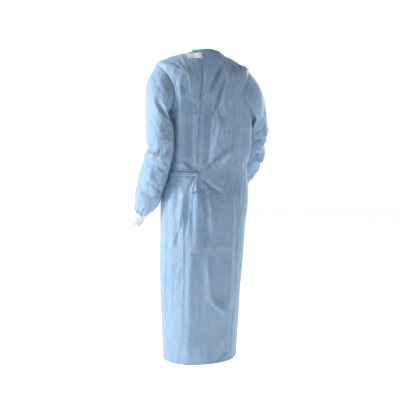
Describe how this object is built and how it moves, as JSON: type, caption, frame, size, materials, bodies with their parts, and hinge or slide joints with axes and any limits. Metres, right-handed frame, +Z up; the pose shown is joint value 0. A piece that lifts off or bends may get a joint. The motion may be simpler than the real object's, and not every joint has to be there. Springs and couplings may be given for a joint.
{
  "type": "surgical gown",
  "caption": "Wrap-back surgical gown in light blue nonwoven cloth, worn shape with no wearer, knitted cuffs, tied waist belt and bound neck.",
  "frame": {"origin": "middle of the neck opening, level with the back of the neck edge, where shoulders carry the gown", "axes": "+Z up, +X to the gown's left, +Y to its back; the front faces -Y"},
  "size_m": [0.6141, 0.4654, 1.318],
  "materials": {
    "cloth": "light blue nonwoven, satin, finely pebbled",
    "knit": "white ribbed knit",
    "binding": "teal folded binding",
    "tape": "white hook and loop tape"
  },
  "bodies": {
    "root": {"front": "cloth", "back_left": "cloth", "back_right": "cloth", "sleeve_left": "cloth", "sleeve_right": "cloth", "cuff_left": "knit", "cuff_right": "knit", "neck_binding": "binding", "neck_tab": "tape", "belt": "cloth", "belt_knot": "cloth", "belt_tail": "cloth", "tie_patch": "cloth"}
  },
  "joints": []
}
